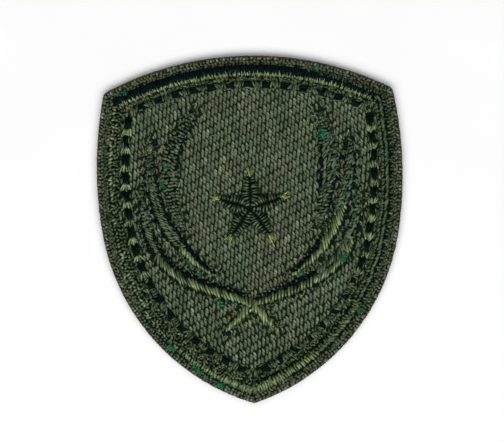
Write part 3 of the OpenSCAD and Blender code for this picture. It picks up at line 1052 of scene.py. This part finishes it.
def dashes(finishes):
    """Running stitches: a dark bundle of strands each, painted shade, and paler ones that spread at
    its ends.
    """
    bundles, fans, edges, beside = [], [], [], []
    for spot, angle in dash_places():
        out = toward(angle)
        down = Vector((out.y, -out.x)) if out.x > 0 else Vector((-out.y, out.x))
        on_side = abs(out.x) > abs(out.y) * SIDE_SLOPE
        with_fan = on_side and spot.y > FANS_ABOVE
        share = FAN_SHARE if with_fan else PLAIN_SHARE
        if on_side and not with_fan and spot.x > 0:
            share = HOLE_SHARE
        bundles.append(splayed(
            spot, out * BUNDLE_HALF_W, DASH_LEN * share, DASH_SPLAY, THREE_ABREAST,
        ))
        beside.append(splayed(spot, out * DASH_W * LOOSE_ASIDE, DASH_LEN * LOOSE_SHARE))
        # Fans of lit strands at a side dash's south end, towards the lamp: a painted highlight.
        if with_fan:
            foot = spot + down * FAN_FOOT
            fans.append(splayed(foot, out * FAN_HALF_W, FAN_REACH, FAN_SPLAY, THREE_ABREAST))
        else:
            room = DASH_LEN * (DASH_ROOM - share) / 2
            for end in (-1, 1):
                middle = spot + down * end * DASH_LEN * (share / 2 + END_SHARE)
                edges.append(splayed(middle, down * room, DASH_W / 2, END_SPLAY))
    layers = [
        stitched(
            finishes, "dashes", "dash_row", bundles, "dash_thread", Spacing=0.23 * MM,
            Slant_spread=0.25, Shift_spread=0.18 * MM, Reach_spread=0.4, Bend=0.14 * MM,
            Thread_radius=0.16 * MM, Lift_spread=0.05 * MM, Points=8, Seed=31,
        ),
        stitched(
            finishes, "fans", "dash_row", fans, "fan_thread", Spacing=0.26 * MM,
            Slant_spread=0.2, Shift_spread=0.1 * MM, Reach_spread=0.25, Arch=0.12 * MM,
            Lift=0.03 * MM, Thread_radius=0.15 * MM, Seed=32,
        ),
        stitched(
            finishes, "ends", "dash_row", edges, "side_thread", Spacing=0.28 * MM, Slant=0.1,
            Slant_spread=0.6, Shift_spread=0.16 * MM, Reach_spread=0.3, Arch=0.1 * MM,
            Thread_radius=0.16 * MM, Seed=33,
        ),
        stitched(
            finishes, "loose", "dash_row", beside, "side_thread", Spacing=DASH_W * 1.2,
            Slant_spread=0.3, Shift_spread=0.25 * MM, Reach_spread=0.4, Lift=0.05 * MM,
            Thread_radius=0.13 * MM, Radius_spread=0.3, Bend=0.15 * MM, Seed=34,
        ),
    ]
    return merged("dash_stitches", [*layers, core_of("dash_row", finishes["packed_thread"])])


# How each blade is sewn, by stretches of its length: from, to, lay of the threads in degrees,
# their spread, share of crossing ones, and from south to north each row's share of the width
# and its thread
LEAF_ROWS = [(0.25, "leaf")] * 4
# The near-black rows on a blade's north side are painted shade; the hole rows are dark thread and
# painted shade of pits.
EDGE_ROWS = [(0.22, "night"), (0.08, "side")]
STEM_ROWS = [(0.10, "hole"), (0.60, "wreath"), *EDGE_ROWS]
# Bright rows are lit copies of the olive thread: painted highlight.
TUFT_ROWS = [(0.10, "hole"), (0.60, "bright"), *EDGE_ROWS]
LEAF_TUFTS = [(0.16, "side"), (0.46, "bright"), (0.38, "night")]
FOOT_ROWS = [(0.12, "side"), (0.76, "bright"), (0.12, "side")]
BLADE_WORK = {
    "stem_right": [
        (0.0, 0.13, 82, 0.15, 0.0, [(1.0, "bright")]),
        (0.13, 0.18, 82, 0.15, 0.0, FOOT_ROWS),
        (0.18, 0.50, 86, 0.15, 0.0, STEM_ROWS),
        (0.50, 0.74, 76, 0.15, 0.0, [
            (0.12, "hole"), (0.48, "wreath"), (0.40, "leaf"),
        ]),
        (0.74, 1.0, 60, 0.5, 0.4, LEAF_ROWS[1:]),
    ],
    "stem_left": [
        (0.0, 0.13, 98, 0.25, 0.0, [(1.0, "bright")]),
        (0.13, 0.22, 98, 0.25, 0.0, FOOT_ROWS),
        (0.22, 0.62, 112, 0.15, 0.0, TUFT_ROWS),
        (0.62, 0.80, 122, 0.15, 0.0, [(0.14, "hole"), (0.56, "cord"), *EDGE_ROWS]),
        (0.80, 1.0, 140, 0.4, 0.2, LEAF_ROWS[1:]),
    ],
    "outer_leaf_left": [
        (0.0, 0.36, 112, 0.2, 0.0, LEAF_TUFTS),
        (0.36, 0.76, 136, 0.25, 0.0, [
            (0.20, "hole"), (0.30, "cord"), (0.30, "cord"),
            (0.20, "hole"),
        ]),
        (0.76, 1.0, 60, 0.6, 0.5, LEAF_ROWS[1:]),
    ],
    "outer_leaf_right": [
        (0.0, 0.34, 78, 0.2, 0.0, LEAF_TUFTS),
        (0.34, 0.62, 74, 0.2, 0.0, [
            (0.10, "hole"), (0.66, "bright"), (0.24, "side"),
        ]),
        (0.62, 1.0, 50, 0.5, 0.0, LEAF_ROWS[1:]),
    ],
    "inner_leaf_left": [
        (0.0, 0.5, 2, 0.5, 0.0, LEAF_ROWS),
        (0.5, 1.0, 150, 0.6, 0.0, [(0.2, "hole"), *LEAF_ROWS[1:]]),
    ],
    "inner_leaf_right": [
        (0.0, 0.38, 30, 0.6, 0.0, [*LEAF_ROWS[1:], (0.25, "hole")]),
        (0.38, 0.74, 64, 0.6, 0.0, [(0.16, "hole"), *LEAF_ROWS[1:], (0.09, "leaf")]),
        (0.74, 1.0, 20, 0.6, 0.0, LEAF_ROWS),
    ],
}
# Strokes of the smooth parts, of the cord, of the dark edges in painted shade, of holes and of
# crumbled parts
STROKES = {
    "Spacing": 0.50 * MM, "Thread radius": 0.205 * MM, "Bend": 0.05 * MM, "Taper": 0.35,
    "Reach spread": 0.26, "Shift spread": 0.14 * MM, "Lift spread": 0.12 * MM,
}
CORDS = {**STROKES, "Spacing": 0.44 * MM, "Thread radius": 0.18 * MM}
FRINGE = {
    "Spacing": 0.60 * MM, "Thread radius": 0.170 * MM, "Bend": 0.12 * MM, "Taper": 0.45,
    "Reach spread": 0.6, "Shift spread": 0.28 * MM, "Lift spread": 0.14 * MM,
}
HOLES = {**FRINGE, "Spacing": 1.3 * MM, "Thread radius": 0.25 * MM}
CRUMBS = {
    "Spacing": 0.50 * MM, "Thread radius": 0.185 * MM, "Bend": 0.11 * MM, "Taper": 0.45,
    "Reach spread": 0.40, "Shift spread": 0.24 * MM, "Lift spread": 0.20 * MM,
}
WORK = {
    "leaf": CRUMBS, "night": FRINGE, "side": FRINGE, "hole": HOLES,
    "cord": CORDS,
}
CROSS_SLANT = 0.7
MOST_TURN = math.radians(50)
SOUTH = Vector((0, -1))


def blade_row(rows, lay, start, share):
    """A run along one strip of a blade, whose strands lie at one angle."""
    run = []
    for i, row in enumerate(rows):
        before, after = rows[max(i - 1, 0)], rows[min(i + 1, len(rows) - 1)]
        heading = math.atan2(after.y - before.y, after.x - before.x)
        turn = (lay - heading) % math.pi - math.pi / 2
        turn = max(-MOST_TURN, min(MOST_TURN, turn))
        across = toward(heading + turn + math.pi / 2)
        if across.dot(SOUTH) < 0:
            across = -across
        half = row.z / 2 * MM / math.cos(turn)
        place = Vector(row[:2]) * MM + across * half * (1 - 2 * start - share)
        run.append((place, half * share, turn))
    return run


def blade(node, finishes, seed):
    rows = smooth_rows(BLADES[node], 8)
    last = len(rows) - 1
    layers = []
    for first, end, lay, spread, crossing, strips in BLADE_WORK[node]:
        part = rows[round(first * last):round(end * last) + 1]
        start = 0.0
        for share, thread in strips:
            run = blade_row(part, math.radians(lay), start, share)
            start += share
            layers.append(stitched(
                finishes, node, node, [run], thread + "_thread", Relief=0.8,
                Slant=CROSS_SLANT if crossing else 0.0, Slant_spread=spread,
                Cross_share=crossing, Tilt_spread=0.12 * MM, Arch=0.06 * MM,
                Radius_spread=0.18, Seed=seed + 10 * len(layers), **WORK.get(thread, STROKES),
            ))
    return merged(node + "_satin", [*layers, core_of(node, finishes["packed_thread"], 0.2)])


def star(finishes):
    """Two ladders with a groove between them on each arm, and a bright tuft at its point."""
    runs, tufts = [], []
    notch = math.pi / STAR_ARMS
    shoulder = STAR_NOTCH_R * math.cos(notch), STAR_NOTCH_R * math.sin(notch) + 0.1 * MM
    for arm in range(STAR_ARMS):
        way = toward(math.radians(90 + 360 / STAR_ARMS * arm))
        across = Vector((-way.y, way.x))
        for side in (-1, 1):
            runs.append([
                (
                    STAR_CENTRE + way * out + across * side * (half + STAR_GROOVE) / 2,
                    (half - STAR_GROOVE) / 2, 0.0,
                )
                for out, half in (ARM_FOOT, shoulder, ARM_END)
            ])
        tip = STAR_CENTRE + way * TUFT_OUT
        tufts.append(splayed(tip, across * 0.3 * MM, TUFT_REACH, TUFT_SPLAY))
    threads = stitched(
        finishes, "star", "centre_star", runs, "star_thread", Seed=61, Spacing=0.42 * MM,
        Slant_spread=0.26, Dip=0.25 * MM, Arch=0.10 * MM, Shift_spread=0.05 * MM,
        Thread_radius=0.175 * MM, Bend=0.12 * MM,
    )
    bright = stitched(
        finishes, "tufts", "centre_star", tufts, "tuft_thread", Seed=62, Spacing=0.2 * MM,
        Slant_spread=0.2, Reach_spread=0.4, Lift=0.14 * MM, Thread_radius=0.13 * MM,
    )
    core = core_of("centre_star", finishes["packed_thread"])
    return merged("star_satin", [threads, bright, core])


# Teal snags: node below, x, y, lay in degrees, and in millimetres the length of the row, half
# length and spacing of its strands
SNAGS = [
    ("border_ridge", -18.4, 20.4, 30, 0.9, 0.43, 0.13),
    ("border_ridge", -18.5, 12.5, 90, 0.8, 0.38, 0.17),
    ("border_ridge", 10.0, 23.6, 10, 0.6, 0.38, 0.13),
    ("twill_ground", 9.9, 20.4, 80, 0.6, 0.38, 0.14),
    ("inner_leaf_right", 10.8, 13.9, 70, 1.3, 0.48, 0.11),
    ("inner_leaf_left", -12.6, 9.9, 90, 0.5, 0.38, 0.17),
    ("inner_leaf_left", -12.9, 6.7, 90, 0.7, 0.38, 0.16),
    ("stem_right", 13.8, -4.4, 60, 1.2, 0.43, 0.15),
    ("twill_ground", 7.1, -6.8, 20, 1.0, 0.43, 0.13),
    ("border_ridge", 15.9, -12.3, 60, 0.9, 0.43, 0.16),
    ("twill_ground", -4.5, -10.9, 100, 0.7, 0.38, 0.14),
    ("twill_ground", -7.9, -6.4, 20, 0.5, 0.38, 0.17),
    ("border_ridge", -12.0, -17.2, 130, 1.1, 0.43, 0.15),
    ("border_ridge", -8.3, -20.5, 130, 1.4, 0.43, 0.14),
    ("border_ridge", -5.0, -22.8, 130, 0.8, 0.38, 0.17),
]
# Holes in painted shade and a tuft: the same, with the radius of the strands, their spread and their
# thread
LOOSE_WORK = [
    *[(*snag, 0.14, 1.0, "snag") for snag in SNAGS],
    ("twill_ground", -13.9, 13.0, 90, 0.7, 0.45, 0.22, 0.15, 0.5, "night"),
    ("twill_ground", 14.3, 12.4, 90, 0.5, 0.40, 0.22, 0.15, 0.5, "night"),
    ("twill_ground", 13.7, 10.3, 90, 0.5, 0.40, 0.22, 0.14, 0.5, "night"),
    ("twill_ground", -3.8, -15.3, 0, 0.8, 0.40, 0.22, 0.16, 0.4, "night"),
    ("outer_leaf_left", -14.8, 12.1, 0, 0.9, 0.50, 0.24, 0.14, 0.3, "bright"),
]
CLOTH_LIFT = 0.08 * MM
SATIN_LIFT = 0.18 * MM
# Threads that have come loose, as x and y in millimetres along each
STRAYS = [
    [(8.4, 15.3), (8.9, 16.3), (9.7, 16.6), (10.1, 15.9), (9.5, 15.2)],
    [(10.6, 10.4), (11.2, 11.3), (12.1, 11.6), (12.6, 11.1)],
    [(-6.2, 13.2), (-5.4, 13.9), (-4.4, 13.8)],
]


def loose_work(finishes):
    """Teal snags, a few pulled holes in painted shade and tufts, and threads that have come loose.
    """
    layers = []
    for node, x, y, lay, length, half, spacing, radius, spread, thread in LOOSE_WORK:
        spot = Vector((x, y)) * MM
        run = splayed(spot, toward(math.radians(lay), length / 2 * MM), half * MM)
        layers.append(stitched(
            finishes, "loose", node, [run], thread + "_thread", Spacing=spacing * MM,
            Slant_spread=spread, Shift_spread=0.2 * MM, Reach_spread=0.4, Bend=0.15 * MM,
            Lift=CLOTH_LIFT if node == "twill_ground" else SATIN_LIFT, Lift_spread=0.1 * MM,
            Thread_radius=radius * MM, Seed=200 + len(layers),
        ))
    layers.append(stitched(
        finishes, "strays", "inner_leaf_right",
        [[(row * MM, 0.0, 0.0) for row in smooth_rows(rows, 6)] for rows in STRAYS],
        "stray_thread", tree="thread_tree", Ground=CLOTH_TOP, Spacing=0.2 * MM,
        Wander=0.03 * MM, Lift=0.1 * MM, Hump=0.35 * MM, Thread_radius=0.055 * MM,
        Radius_spread=0.2, Seed=240,
    ))
    return merged("loose_threads", layers)


def dress(piece, slot, *nodes):
    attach(piece, "root")
    if nodes:
        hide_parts(*nodes)
    return piece


def camera():
    data = bpy.data.cameras.new("camera")
    data.lens = data.sensor_width * VIEW_DISTANCE / VIEW_W
    data.clip_start = 0.01
    view = placed("camera", data)
    view.location = VIEW_PLACE
    view.rotation_euler = (0, 0, VIEW_TURN)
    bpy.context.scene.camera = view


def lamp(name, place, size, power):
    data = bpy.data.lights.new(name, "AREA")
    data.shape = "RECTANGLE"
    data.size, data.size_y = size
    data.energy = power
    light = placed(name, data)
    light.location = place
    light.rotation_euler = (-place).to_track_quat("-Z", "Y").to_euler()
    return light


def bed():
    """White board under the patch, with a faint grain."""
    side = 1.5
    mesh = bpy.data.meshes.new("bed")
    mesh.from_pydata(
        [(-side, -side, 0), (side, -side, 0), (side, side, 0), (-side, side, 0)], [],
        [(0, 1, 2, 3)],
    )
    m = Finish("white_bed", 0.9, 0.1)
    shades = [(0.3, (0.61, 0.61, 0.61)), (0.7, (0.625, 0.625, 0.625))]
    mesh.materials.append(m.coloured(m.ramp(m.cloud(BOARD_SCALE, 3.0), shades)))
    placed("bed", mesh)


def studio():
    lamp("long_lamp", LAMP_PLACE, LAMP_SIZE, LAMP_POWER)
    lamp("soft_fill", FILL_PLACE, FILL_SIZE, FILL_POWER).visible_glossy = False
    bed()
    world = bpy.data.worlds.new("studio")
    world.use_nodes = True
    world.node_tree.nodes["Background"].inputs["Color"].default_value = (1, 1, 1, 1)
    world.node_tree.nodes["Background"].inputs["Strength"].default_value = ROOM_LIGHT
    bpy.context.scene.world = world
    bpy.context.scene.view_settings.view_transform = "Standard"


def main():
    finishes = make_materials()
    finishes["stitch_tree"] = stitch_tree()
    finishes["thread_tree"] = thread_tree()
    camera()
    studio()
    cloth = dress(cloth_slab(finishes["twill_shadow"]), "twill_cloth", "twill_ground")
    on_cloth = [
        dress(twill_floats(grain_tree(), finishes["twill_yarn"]), "twill_cloth"),
        dress(margin_grains(finishes), "twill_cloth"),
        dress(fused_edge(finishes), "twill_cloth"),
        dress(border(finishes), "border_thread", "border_ridge"),
        dress(dashes(finishes), "dash_thread", "dash_row"),
        dress(star(finishes), "star_thread", "centre_star"),
    ]
    for number, node in enumerate(BLADES):
        on_cloth.append(dress(blade(node, finishes, 70 + number), "wreath_thread", node))
    on_cloth.append(dress(loose_work(finishes), "wreath_thread"))
    film_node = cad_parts["adhesive_film"]
    film_node.data.materials.clear()
    film_node.data.materials.append(finishes["heat_seal_film"])


main()
